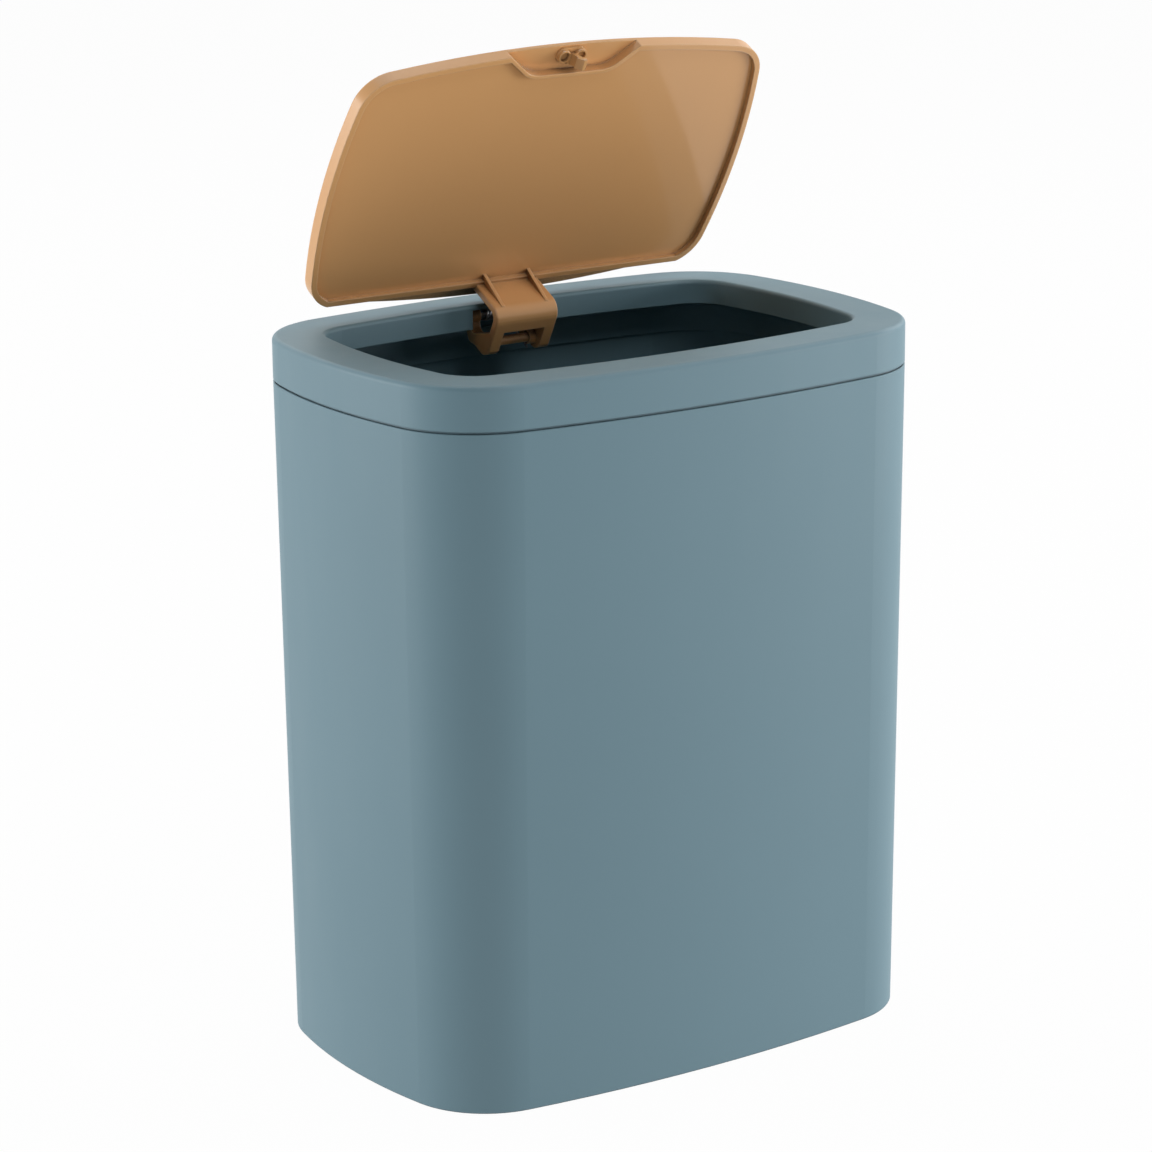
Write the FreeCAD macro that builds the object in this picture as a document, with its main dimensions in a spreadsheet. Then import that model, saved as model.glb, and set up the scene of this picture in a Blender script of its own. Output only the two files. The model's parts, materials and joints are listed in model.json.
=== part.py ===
import FreeCAD
import Part
import math
import os
import types
import Sketcher
from FreeCAD import Placement, Rotation, Vector

# Bathroom bin with a push-to-open lid. Millimetres, +Z up, front towards -Y,
# origin at the middle of the underside. The lid is drawn in its closed place and
# then turned open about the hinge. The latch is drawn released, as it is then.

SIZES = (
    # Tub and collar, at the line where the two meet
    ("bin_height", 300.0, "floor to the top of the collar"),
    ("half_width", 125.8, "half the width at the parting line"),
    ("half_depth", 86.1, "half the depth at the parting line"),
    ("front_radius", 673.0, "bow of the front and back"),
    ("side_radius", 250.0, "bow of the two ends"),
    ("corner_radius", 41.2, "upright corners"),
    ("draft_inset", 2.5, "how much smaller the foot is on every side"),
    ("wall", 2.4, "tub wall"),
    ("floor_thick", 2.6, "tub floor"),
    ("foot_round", 1.0, "outer edge of the foot"),
    ("floor_round", 4.0, "inner edge of the floor"),
    ("skirt_height", 18.2, "collar above the parting line"),
    ("groove_height", 1.0, "shadow line between tub and collar"),
    ("groove_depth", 1.1, "depth of the shadow line"),
    ("rim_round", 0.5, "edge of the tub below it"),
    ("skirt_wall", 3.4, "collar skirt"),
    ("collar_round", 2.2, "top outer edge of the collar"),
    ("flange_thick", 2.2, "flat top of the collar"),
    ("tongue_drop", 8.0, "collar tongue inside the tub"),
    ("tongue_wall", 1.6, "wall of the tongue"),
    ("tongue_rise", 4.0, "overlap of tongue and skirt"),
    ("tongue_gap", 0.3, "room between tongue and tub"),
    # Opening in the collar
    ("flange_side", 22.5, "flat top beside the opening"),
    ("flange_front", 22.1, "flat top before and behind the opening"),
    ("mouth_front_radius", 577.0, "bow of its long sides"),
    ("mouth_side_radius", 259.0, "bow of its short sides"),
    ("mouth_corner_radius", 17.7, "its corners"),
    ("throat_depth", 10.4, "wall that hangs round the opening"),
    ("throat_wall", 2.0, "thickness of that wall"),
    ("throat_round", 1.6, "top edge of the opening"),
    # Hinge
    ("pivot_back", 7.1, "hinge line behind the opening"),
    ("pivot_drop", 5.9, "hinge line below the collar's top"),
    ("open_angle", 61.9, "degrees from closed to open"),
    ("notch_half", 16.4, "half the notch for the arm"),
    ("notch_reach", 0.4, "notch past the throat wall"),
    ("notch_round", 1.4, "upright edges of the notch"),
    ("pin_radius", 1.5, "hinge pin"),
    ("pin_play", 0.05, "room round a pin that turns"),
    ("ear_thick", 2.8, "collar ear on the pin"),
    ("ear_half", 4.2, "half the depth of an ear"),
    ("ear_drop", 4.4, "ear below the hinge line"),
    ("ear_round", 3.0, "lower corners of an ear"),
    ("side_play", 0.4, "room beside a part that turns"),
    ("pin_head_radius", 2.6, "head of the hinge pin"),
    ("pin_head_thick", 1.2, "its thickness, and the clip's"),
    ("pin_end", 1.4, "pin past the clip"),
    # Lid
    ("lid_gap", 1.0, "room between lid and opening"),
    ("panel_thick", 3.9, "lid panel"),
    ("panel_round", 0.6, "its top edge"),
    ("lip_depth", 6.1, "lid edge, from the top"),
    ("lip_wall", 2.6, "wall of the lip"),
    ("skin_thick", 2.0, "lid at its back edge and in the pocket"),
    ("rib_wall", 1.6, "rib round the pocket"),
    ("rear_lip_inset", 8.2, "straight lip before the opening's back"),
    ("rear_lip_short", 15.8, "its ends inside the opening's sides"),
    ("pocket_front_half", 33.4, "half the front pocket at the lid's edge"),
    ("pocket_rear_half", 19.8, "half the pocket at its inner end"),
    ("pocket_edge", 2.5, "outer end of the pocket's rib, from the opening"),
    ("pocket_depth", 13.9, "inner end of the pocket's rib, from the opening"),
    ("pocket_round", 13.0, "corners of the pocket"),
    # Gooseneck arm of the lid
    ("arm_half", 15.4, "half the width of the arm"),
    ("arm_lead", 1.3, "front face of the arm before the rear lip"),
    ("arm_thick", 3.0, "its thickness"),
    ("arm_drop", 20.8, "underside of the arm below the hinge line"),
    ("arm_round", 0.7, "long edges of the arm"),
    ("arm_bend", 6.5, "outer bend of the arm"),
    ("leg_width", 5.2, "each leg of the arm"),
    ("window_start", 10.7, "window between the legs, from the arm's front"),
    ("lug_back", 7.4, "back of the legs behind the hinge line"),
    ("lug_drop", 11.0, "where the legs narrow, below the hinge line"),
    ("lug_round", 4.5, "their rounded back"),
    ("web_foot_lead", 4.2, "front end of the leg's web before the hinge line"),
    ("web_back", 8.6, "back of the web behind the hinge line"),
    ("web_back_drop", 6.0, "and below it"),
    ("web_back_round", 2.5, "its outer round"),
    ("web_neck_back", 5.0, "narrow place of the web behind the hinge line"),
    ("web_neck_drop", 6.0, "and below it"),
    ("web_neck_round", 3.0, "its inner round"),
    ("eye_radius", 3.4, "eye round the hinge pin"),
    ("hub_reach", 1.7, "hub of the eye beside the leg"),
    ("bar_back", 2.9, "bar between the legs, behind the hinge line"),
    ("bar_drop", 15.3, "and below it"),
    ("bar_radius", 2.0, "its radius"),
    ("bar_knob_radius", 3.0, "knob at the bar's right end"),
    ("bar_knob_length", 3.4, "its length"),
    ("leg_end_back", 3.9, "end of the flat leg behind the hinge line"),
    ("gusset_x", 11.0, "middle of a gusset"),
    ("gusset_thick", 1.5, "its thickness"),
    ("gusset_foot", 4.0, "gusset along the panel"),
    ("gusset_drop", 16.1, "gusset's lower end below the hinge line"),
    ("gusset_root", 1.0, "gusset sunk in the arm"),
    # Torsion spring on the hinge pin
    ("coil_wire", 0.9, "wire of the lid spring"),
    ("coil_radius", 2.7, "middle of its turns"),
    ("coil_start", -7.0, "first turn along the pin"),
    ("coil_pitch", 1.5, "step of a turn"),
    ("coil_still_leg", 8.5, "leg under the collar's stop"),
    ("coil_arm_leg", 19.0, "leg behind the lid's bar"),
    ("stop_half", 2.0, "half the width of the spring stop"),
    ("stop_start", 6.0, "stop behind the hinge line"),
    ("stop_length", 4.0, "length of the stop"),
    ("stop_gap", 0.25, "stop above the wire"),
    # Striker on the lid
    ("latch_inset", 5.5, "middle of the latch behind the opening's front"),
    ("striker_half", 7.0, "half the width of the striker's foot"),
    ("striker_depth", 7.0, "its depth"),
    ("striker_foot", 1.0, "its thickness"),
    ("striker_round", 3.4, "its corners"),
    ("neck_half", 1.0, "half the width of the neck"),
    ("neck_depth", 5.0, "depth of neck and head"),
    ("head_half", 2.2, "half the width of the head"),
    ("head_length", 3.5, "its shoulder to its tip"),
    ("tip_half", 0.7, "half the width of the tip"),
    ("head_lean", 3.0, "tip towards the front"),
    ("cup_radius", 2.9, "round cup beside the neck"),
    ("cup_wall", 0.8, "its wall"),
    ("cup_rise", 1.4, "its height on the foot"),
    ("stud_x", 3.9, "studs that hold the striker"),
    ("stud_radius", 1.1, "their radius"),
    ("stud_rise", 1.0, "studs in the panel"),
    # Latch under the collar's shelf
    ("shelf_thick", 2.4, "shelf that carries the latch"),
    ("shelf_front_half", 28.0, "half its width at the throat"),
    ("shelf_rear_half", 20.5, "half its width at its inner end"),
    ("shelf_root", 1.0, "shelf sunk in the throat wall"),
    ("shelf_depth", 13.8, "inner end of the shelf, from the opening"),
    ("shelf_round", 3.0, "corners of the shelf"),
    ("gate_half", 9.8, "half the width of the striker's gate"),
    ("boss_x", 17.2, "screw bosses beside the latch"),
    ("boss_radius", 3.2, "their radius"),
    ("boss_rise", 3.2, "their height on the shelf"),
    ("box_half", 11.4, "half the inside width of the latch housing"),
    ("box_depth", 9.2, "its inside depth"),
    ("box_wall", 1.6, "its wall"),
    ("box_height", 31.1, "its height"),
    ("tab_half", 21.0, "half the width over its upper tabs"),
    ("tab_thick", 3.2, "thickness of the tabs"),
    ("foot_tab_half", 19.0, "half the width over its lower tabs"),
    ("foot_screw_x", 16.0, "cover screws"),
    ("cover_thick", 2.0, "cover of the housing"),
    ("slide_play", 0.2, "room round the plunger"),
    ("plunger_sink", 4.1, "top of the plunger below the shelf, released"),
    ("plunger_height", 11.0, "its height"),
    ("spine_half", 2.4, "half the middle web of the plunger"),
    ("jaw_slot", 7.0, "depth of the jaw slots"),
    ("jaw_half", 1.7, "half the thickness of a jaw"),
    ("peg_radius", 1.9, "peg inside the plunger spring"),
    ("peg_drop", 3.0, "its length"),
    ("track_half", 2.8, "half the width of the follower's track"),
    ("track_start", 2.0, "track above the plunger's underside"),
    ("track_end", 3.0, "track below the plunger's top"),
    ("track_depth", 0.9, "depth of the track"),
    ("jaw_x", 5.6, "jaw pivot"),
    ("jaw_pin_drop", 3.5, "jaw pivot below the plunger's top"),
    ("jaw_base", 2.2, "round foot of a jaw"),
    ("jaw_inner", 4.2, "inner face of a jaw, closed"),
    ("jaw_outer", 6.9, "outer face of a jaw, closed"),
    ("hook_inner", 1.5, "nose of the hook, closed"),
    ("hook_rise", 11.3, "underside of the hook above the jaw pivot"),
    ("hook_thick", 1.4, "thickness of the hook"),
    ("hook_gap", 0.3, "hook above the head, caught"),
    ("latch_travel", 2.5, "plunger from released to caught"),
    ("jaw_spread", 8.0, "degrees that a jaw stands open"),
    ("jaw_pin_radius", 1.0, "pin of a jaw"),
    ("spring_wire", 0.7, "wire of the plunger spring"),
    ("spring_radius", 2.9, "middle of its turns"),
    ("lever_rise", 7.5, "pivot of the track follower above the box's end"),
    ("lever_pin_rise", 1.5, "its pin above the track's lower end, released"),
    ("lever_half", 1.9, "half the width of the follower"),
    ("lever_thick", 1.0, "its thickness"),
    ("lever_gap", 0.2, "room behind it"),
    ("lever_pin_radius", 0.8, "its pin"),
    ("lever_slot_half", 2.6, "half the width of the slot it reaches through"),
    ("lever_slot_rise", 2.0, "slot above and below the pin"),
    ("rivet_radius", 1.0, "pivot of the follower"),
    ("rivet_head", 1.9, "its head"),
    ("rivet_head_thick", 0.8, "thickness of the head"),
    # Screws
    ("screw_radius", 1.25, "shank of the small screws"),
    ("screw_play", 0.02, "room round a screw"),
    ("screw_head", 2.3, "radius of their heads"),
    ("screw_head_thick", 1.5, "thickness of their heads"),
    ("screw_drive", 0.6, "radius of the recess in a head"),
    ("screw_drive_depth", 0.8, "its depth"),
    ("screw_bite", 4.6, "shank past the piece that is held"),
    ("foot_bite", 4.0, "shank of a cover screw in the housing"),
    ("foot_tab_thick", 4.4, "thickness of the lower tabs"),
    ("overrun", 1.0, "how far every cut runs past the solid"),
)
HALF_SHARE = 0.5
COIL_TURNS = 7
SPRING_TURNS = 6
LEAST_TURN_GAP = 0.4
GAP_POINTS_PER_TURN = 24
NEAR = 1e-4
ARCS_PER_TURN = 4
APART_SHARE = 0.75
FULL_TURN = 2 * math.pi
QUARTER_TURN = FULL_TURN / 4


class Dim:
    """A size that keeps its formula in the sheet's terms beside its value."""

    def __init__(self, text, value):
        self.text = text
        self.value = value

    def _with(self, sign, other, value):
        return Dim(f"({self.text} {sign} {text_of(other)})", value)

    def __add__(self, other):
        return self._with("+", other, self.value + number(other))

    def __sub__(self, other):
        return self._with("-", other, self.value - number(other))

    def __mul__(self, share):
        return self._with("*", share, self.value * number(share))

    def __neg__(self):
        return Dim(f"(0 - {self.text})", -self.value)


def number(size):
    return size.value if isinstance(size, Dim) else size


def text_of(size):
    return size.text if isinstance(size, Dim) else repr(size)


doc = FreeCAD.newDocument("bathroom_bin")
sheet = doc.addObject("Spreadsheet::Sheet", "sizes")
for row, (name, value, note) in enumerate(SIZES, start=1):
    sheet.set(f"A{row}", name)
    sheet.set(f"B{row}", str(value))
    sheet.setAlias(f"B{row}", name)
    sheet.set(f"C{row}", note)
doc.recompute()
size = types.SimpleNamespace(
    **{name: Dim(f"sizes.{name}", float(sheet.get(name))) for name, _, _ in SIZES}
)


# Sketches and features

def bind(thing, name, value):
    """Give a property its size, from the sheet where it has a formula."""
    if isinstance(value, Dim):
        thing.setExpression(name, value.text)


def new_body(label):
    body = doc.addObject("PartDesign::Body", label)
    body.Label = label
    return body


def new_sketch(body, plane, away=0):
    """A sketch on one of the body's own planes, moved along the plane's normal."""
    sketch = body.newObject("Sketcher::SketchObject", f"{body.Label}_sketch")
    support = [item for item in body.Origin.OriginFeatures if item.Role == plane]
    sketch.AttachmentSupport = [(support[0], "")]
    sketch.MapMode = "FlatFace"
    sketch.AttachmentOffset = Placement(Vector(0, 0, number(away)), Rotation())
    bind(sketch, ".AttachmentOffset.Base.z", away)
    return sketch


def hold(sketch, kind, refs, value):
    """Add a sized constraint and bind it to the sheet."""
    index = sketch.addConstraint(Sketcher.Constraint(kind, *refs, number(value)))
    bind(sketch, f"Constraints[{index}]", value)


def hold_point(sketch, geo, pos, across, along):
    """Fix a sketch point by its two distances from the sketch's origin."""
    for kind, axis, value in (("DistanceX", -2, across), ("DistanceY", -1, along)):
        if number(value) > 0:
            hold(sketch, kind, (-1, 1, geo, pos), value)
        elif number(value) < 0:
            hold(sketch, kind, (geo, pos, -1, 1), -value)
        else:
            sketch.addConstraint(Sketcher.Constraint("PointOnObject", geo, pos, axis))


def draw_circle(sketch, across, along, radius):
    middle = Vector(number(across), number(along), 0)
    geo = sketch.addGeometry(Part.Circle(middle, Vector(0, 0, 1), number(radius)))
    hold(sketch, "Radius", (geo,), radius)
    hold_point(sketch, geo, 3, across, along)


def rounded(before, corner, after, radius):
    """Ends, middle and sense of the arc that rounds a corner."""
    to_before = (before - corner).normalize()
    to_after = (after - corner).normalize()
    half = to_before.getAngle(to_after) * HALF_SHARE
    reach = radius / math.tan(half)
    inward = (to_before + to_after).normalize()
    middle = corner + inward * (radius / math.sin(half))
    left_turn = to_before.cross(to_after).z < 0
    return corner + to_before * reach, corner + to_after * reach, middle, left_turn


def draw_outline(sketch, corners):
    """A closed outline of straight lines. A corner's third value is its radius."""
    spots = [Vector(number(c[0]), number(c[1]), 0) for c in corners]
    count = len(corners)
    arcs = {}
    for i, corner in enumerate(corners):
        if len(corner) > 2:
            before, after = spots[i - 1], spots[(i + 1) % count]
            arcs[i] = rounded(before, spots[i], after, number(corner[2]))
    lines = []
    for i in range(count):
        after = (i + 1) % count
        start = arcs[i][1] if i in arcs else spots[i]
        end = arcs[after][0] if after in arcs else spots[after]
        lines.append(sketch.addGeometry(Part.LineSegment(start, end)))
    for i, corner in enumerate(corners):
        before, after = lines[i - 1], lines[i]
        if i not in arcs:
            sketch.addConstraint(Sketcher.Constraint("Coincident", before, 2, after, 1))
            hold_point(sketch, after, 1, corner[0], corner[1])
            continue
        start, end, middle, left_turn = arcs[i]
        first, last = (start, end) if left_turn else (end, start)
        circle = Part.Circle(middle, Vector(0, 0, 1), number(corner[2]))
        arc = sketch.addGeometry(
            Part.ArcOfCircle(circle, circle.parameter(first), circle.parameter(last))
        )
        near, far = (1, 2) if left_turn else (2, 1)
        sketch.addConstraint(Sketcher.Constraint("Tangent", before, 2, arc, near))
        sketch.addConstraint(Sketcher.Constraint("Tangent", arc, far, after, 1))
        hold(sketch, "Radius", (arc,), corner[2])
        point = sketch.addGeometry(Part.Point(spots[i]), True)
        for line in (before, after):
            sketch.addConstraint(Sketcher.Constraint("PointOnObject", point, 1, line))
        hold_point(sketch, point, 1, corner[0], corner[1])


def draw_box(sketch, left, right, low, high):
    draw_outline(sketch, ((left, low), (right, low), (right, high), (left, high)))


def draw_barrel(sketch, barrel, inset=0):
    """A bowed oblong: two long arcs, two short arcs and four corners, all tangent."""
    width, depth, front, side, corner = (
        [item - inset for item in barrel] if isinstance(inset, Dim) else barrel
    )
    long_mid = Vector(0, number(depth) - number(front), 0)
    short_mid = Vector(number(width) - number(side), 0, 0)
    long_reach = number(front) - number(corner)
    short_reach = number(side) - number(corner)
    gap = short_mid - long_mid
    along = (long_reach**2 - short_reach**2 + gap.Length**2) / gap.Length * HALF_SHARE
    across = math.sqrt(long_reach**2 - along**2)
    step = Vector(gap).normalize()
    corner_mid = long_mid + step * along + Vector(step.y, -step.x, 0) * across
    turn_low = math.atan2(corner_mid.y - short_mid.y, corner_mid.x - short_mid.x)
    turn_high = math.atan2(corner_mid.y - long_mid.y, corner_mid.x - long_mid.x)
    x, y = corner_mid.x, corner_mid.y
    arcs = (
        (short_mid.x, 0, side, -turn_low, turn_low),
        (x, y, corner, turn_low, turn_high),
        (0, long_mid.y, front, turn_high, math.pi - turn_high),
        (-x, y, corner, math.pi - turn_high, math.pi - turn_low),
        (-short_mid.x, 0, side, math.pi - turn_low, math.pi + turn_low),
        (-x, -y, corner, math.pi + turn_low, math.pi + turn_high),
        (0, -long_mid.y, front, math.pi + turn_high, FULL_TURN - turn_high),
        (x, -y, corner, -turn_high, -turn_low),
    )
    geos = []
    for mid_x, mid_y, radius, start, end in arcs:
        circle = Part.Circle(Vector(mid_x, mid_y, 0), Vector(0, 0, 1), number(radius))
        geos.append(sketch.addGeometry(Part.ArcOfCircle(circle, start, end)))
    for i, geo in enumerate(geos):
        after = geos[(i + 1) % len(geos)]
        sketch.addConstraint(Sketcher.Constraint("Tangent", geo, 2, after, 1))
    right, first_corner, back, second, left, third, front_arc, fourth = geos
    hold(sketch, "Radius", (right,), side)
    hold(sketch, "Radius", (back,), front)
    hold(sketch, "Radius", (first_corner,), corner)
    twins = ((right, left), (back, front_arc), (first_corner, second))
    for one, other in twins + ((first_corner, third), (first_corner, fourth)):
        sketch.addConstraint(Sketcher.Constraint("Equal", one, other))
    hold_point(sketch, right, 3, width - side, 0)
    hold_point(sketch, left, 3, side - width, 0)
    hold_point(sketch, back, 3, 0, depth - front)
    hold_point(sketch, front_arc, 3, 0, front - depth)


def extrude(kind, body, sketch, length, reverse, both):
    feature = body.newObject(f"PartDesign::{kind}", f"{body.Label}_{kind.lower()}")
    feature.Profile = sketch
    feature.Length = number(length)
    bind(feature, "Length", length)
    feature.SideType = "Symmetric" if both else "One side"
    feature.Reversed = reverse
    doc.recompute()
    return feature


def pad(body, sketch, length, reverse=False, both=False):
    """Add material along the sketch's normal, or against it."""
    return extrude("Pad", body, sketch, length, reverse, both)


def cut(body, sketch, length, reverse=False, both=False):
    """Take material away against the sketch's normal, or along it."""
    before = body.Shape.Volume
    feature = extrude("Pocket", body, sketch, length, reverse, both)
    if body.Shape.Volume > before - NEAR:
        raise ValueError(f"a cut in {body.Label} takes nothing away")
    return feature


def loft(body, kind, low, high):
    feature = body.newObject(f"PartDesign::{kind}Loft", f"{body.Label}_{kind.lower()}")
    feature.Profile = low
    feature.Sections = [high]
    feature.Ruled = True
    doc.recompute()
    return feature


def round_edges(body, radius, chosen):
    """Round those edges of the body whose middle point passes the test."""
    base = body.Tip
    names = []
    for i, edge in enumerate(base.Shape.Edges, start=1):
        spots = [edge.valueAt(edge.FirstParameter), edge.valueAt(edge.LastParameter)]
        spots.append(edge.CenterOfMass)
        if chosen(spots):
            names.append(f"Edge{i}")
    if not names:
        raise ValueError(f"no edge of {body.Label} to round")
    feature = body.newObject("PartDesign::Fillet", f"{body.Label}_round")
    feature.Base = (base, names)
    feature.Radius = number(radius)
    bind(feature, "Radius", radius)
    doc.recompute()


def turn_about(body, axis, degrees, middle):
    """Turn a whole body about a line through a point."""
    spot = Vector(*[number(value) for value in middle])
    body.Placement = Placement(Vector(), Rotation(Vector(*axis), number(degrees)), spot)
    line_text = "; ".join(text_of(value) for value in axis)
    spot_text = "; ".join(text_of(value) for value in middle)
    turn_text = f"rotation(vector({line_text}); {text_of(degrees)})"
    place_text = f"placement(vector(0; 0; 0); {turn_text}; vector({spot_text}))"
    body.setExpression("Placement", place_text)


def level(spots, height):
    return all(abs(spot.z - number(height)) < NEAR for spot in spots)


# Heights and places that several pieces share

parting = size.bin_height - size.skirt_height
rim_outer = parting - size.groove_height * HALF_SHARE
rim_inner = parting + size.groove_height * HALF_SHARE
flange_under = size.bin_height - size.flange_thick
throat_low = size.bin_height - size.throat_depth
panel_under = size.bin_height - size.panel_thick
skin_under = size.bin_height - size.skin_thick
lip_low = size.bin_height - size.lip_depth
leg_inner = size.arm_half - size.leg_width
ear_inner = size.arm_half + size.hub_reach + size.side_play
ear_outer = ear_inner + size.ear_thick
tub_outline = (
    size.half_width,
    size.half_depth,
    size.front_radius,
    size.side_radius,
    size.corner_radius,
)
mouth_half_width = size.half_width - size.flange_side
mouth_half_depth = size.half_depth - size.flange_front
mouth_outline = (
    mouth_half_width,
    mouth_half_depth,
    size.mouth_front_radius,
    size.mouth_side_radius,
    size.mouth_corner_radius,
)
notch_back = mouth_half_depth + size.throat_wall + size.notch_reach

# Hinge and arm, lid closed
pin_hole = size.pin_radius + size.pin_play
pivot_y = mouth_half_depth + size.pivot_back
pivot_z = size.bin_height - size.pivot_drop
rear_lip_y = mouth_half_depth - size.rear_lip_inset
rear_lip_half = mouth_half_width - size.rear_lip_short
arm_front = rear_lip_y - size.arm_lead
arm_bottom = pivot_z - size.arm_drop
bar_y = pivot_y + size.bar_back
bar_z = pivot_z - size.bar_drop

# Latch, released
latch_y = mouth_half_depth - size.latch_inset
shelf_top = throat_low + size.shelf_thick
box_back = latch_y - size.box_depth * HALF_SHARE
box_front = latch_y + size.box_depth * HALF_SHARE
box_bottom = throat_low - size.box_height
plunger_top = throat_low - size.plunger_sink
plunger_bottom = plunger_top - size.plunger_height
track_low = plunger_bottom + size.track_start
track_high = plunger_top - size.track_end
jaw_z = plunger_top - size.jaw_pin_drop
hook_low = jaw_z + size.hook_rise
head_top = hook_low - size.latch_travel - size.hook_gap
lever_z = box_bottom + size.lever_rise
lever_top = track_low + size.lever_pin_rise


# Tub

def make_tub():
    body = new_body("bin_body")
    foot = new_sketch(body, "XY_Plane")
    draw_barrel(foot, tub_outline, size.draft_inset)
    rim = new_sketch(body, "XY_Plane", rim_outer)
    draw_barrel(rim, tub_outline)
    loft(body, "Additive", foot, rim)
    round_edges(body, size.foot_round, lambda spots: level(spots, 0))
    round_edges(body, size.rim_round, lambda spots: level(spots, rim_outer))
    step = new_sketch(body, "XY_Plane", rim_outer)
    draw_barrel(step, tub_outline, size.groove_depth)
    pad(body, step, size.groove_height)
    inner_foot = new_sketch(body, "XY_Plane", size.floor_thick)
    draw_barrel(inner_foot, tub_outline, size.draft_inset + size.wall)
    inner_rim = new_sketch(body, "XY_Plane", rim_inner + size.overrun)
    draw_barrel(inner_rim, tub_outline, size.wall)
    loft(body, "Subtractive", inner_foot, inner_rim)
    round_edges(body, size.floor_round, lambda spots: level(spots, size.floor_thick))
    return body


# Collar

def make_collar():
    body = new_body("collar")
    skirt = new_sketch(body, "XY_Plane", rim_inner)
    draw_barrel(skirt, tub_outline)
    pad(body, skirt, size.bin_height - rim_inner)
    round_edges(body, size.collar_round, lambda spots: level(spots, size.bin_height))
    hollow = new_sketch(body, "XY_Plane", flange_under)
    draw_barrel(hollow, tub_outline, size.skirt_wall)
    cut(body, hollow, flange_under - rim_inner + size.overrun)
    tongue = new_sketch(body, "XY_Plane", parting - size.tongue_drop)
    tongue_outer = size.wall + size.tongue_gap
    draw_barrel(tongue, tub_outline, tongue_outer)
    draw_barrel(tongue, tub_outline, tongue_outer + size.tongue_wall)
    pad(body, tongue, size.tongue_drop + size.tongue_rise)
    throat = new_sketch(body, "XY_Plane", throat_low)
    draw_barrel(throat, mouth_outline, -size.throat_wall)
    pad(body, throat, flange_under - throat_low + size.flange_thick * HALF_SHARE)
    mouth = new_sketch(body, "XY_Plane", size.bin_height)
    draw_barrel(mouth, mouth_outline)
    cut(body, mouth, size.throat_depth + size.overrun)
    add_hinge_seat(body)
    add_latch_shelf(body)
    round_edges(body, size.throat_round, at_mouth_edge)
    return body


def at_mouth_edge(spots):
    inside = all(abs(spot.x) < number(mouth_half_width) + NEAR for spot in spots)
    near = all(abs(spot.y) < number(notch_back) + NEAR for spot in spots)
    return inside and near and level(spots, size.bin_height)


def at_notch_edge(spots):
    beside = all(abs(abs(spot.x) - number(size.notch_half)) < NEAR for spot in spots)
    return beside and all(abs(spot.y) < number(mouth_half_depth) for spot in spots)


def add_hinge_seat(body):
    """Notch in the throat for the arm, two ears for the pin and the spring's stop."""
    notch = new_sketch(body, "XY_Plane", flange_under)
    notch_front = mouth_half_depth - size.throat_wall
    draw_box(notch, -size.notch_half, size.notch_half, notch_front, notch_back)
    cut(body, notch, flange_under - throat_low + size.overrun)
    round_edges(body, size.notch_round, at_notch_edge)
    ear_front = pivot_y - size.ear_half
    ear_back = pivot_y + size.ear_half
    ear_low = pivot_z - size.ear_drop
    for side, away in ((1, ear_inner), (-1, -ear_inner)):
        ear = new_sketch(body, "YZ_Plane", away)
        corners = (
            (ear_front, ear_low, size.ear_round),
            (ear_back, ear_low, size.ear_round),
            (ear_back, flange_under + size.flange_thick * HALF_SHARE),
            (ear_front, flange_under + size.flange_thick * HALF_SHARE),
        )
        draw_outline(ear, corners)
        pad(body, ear, size.ear_thick, reverse=side < 0)
    bore = new_sketch(body, "YZ_Plane")
    draw_circle(bore, pivot_y, pivot_z, size.pin_radius + size.screw_play)
    cut(body, bore, (ear_outer + size.overrun) * 2, both=True)
    stop = new_sketch(body, "XY_Plane", stop_height())
    stop_front = pivot_y + size.stop_start
    draw_box(
        stop,
        size.coil_start - size.stop_half,
        size.coil_start + size.stop_half,
        stop_front,
        stop_front + size.stop_length,
    )
    pad(body, stop, flange_under - stop_height() + size.flange_thick * HALF_SHARE)


def stop_height():
    """Underside of the stop, just above the still leg of the lid spring."""
    leg_middle = pivot_z - size.coil_radius
    return leg_middle + size.coil_wire * HALF_SHARE + size.stop_gap


def add_latch_shelf(body):
    """Shelf across the front of the throat, with screw bosses and the striker's gate."""
    shelf = new_sketch(body, "XY_Plane", throat_low)
    front = mouth_half_depth + size.shelf_root
    rear = mouth_half_depth - size.shelf_depth
    corners = (
        (-size.shelf_front_half, -front),
        (size.shelf_front_half, -front),
        (size.shelf_rear_half, -rear, size.shelf_round),
        (-size.shelf_rear_half, -rear, size.shelf_round),
    )
    draw_outline(shelf, corners)
    pad(body, shelf, size.shelf_thick)
    bosses = new_sketch(body, "XY_Plane", shelf_top - size.shelf_thick * HALF_SHARE)
    holes = new_sketch(body, "XY_Plane", throat_low)
    for x in (-size.boss_x, size.boss_x):
        draw_circle(bosses, x, -latch_y, size.boss_radius)
        draw_circle(holes, x, -latch_y, size.screw_radius + size.screw_play)
    pad(body, bosses, size.shelf_thick * HALF_SHARE + size.boss_rise)
    cut(body, holes, size.screw_bite + size.screw_play, reverse=True)
    gate = new_sketch(body, "XY_Plane", shelf_top)
    draw_box(gate, -size.gate_half, size.gate_half, -box_front, -box_back)
    cut(body, gate, size.shelf_thick + size.overrun)


# Lid, drawn closed

def place_lid_piece(body):
    """Turn a piece of the lid from closed to open."""
    turn_about(body, (1, 0, 0), -size.open_angle, (0, pivot_y, pivot_z))


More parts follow.
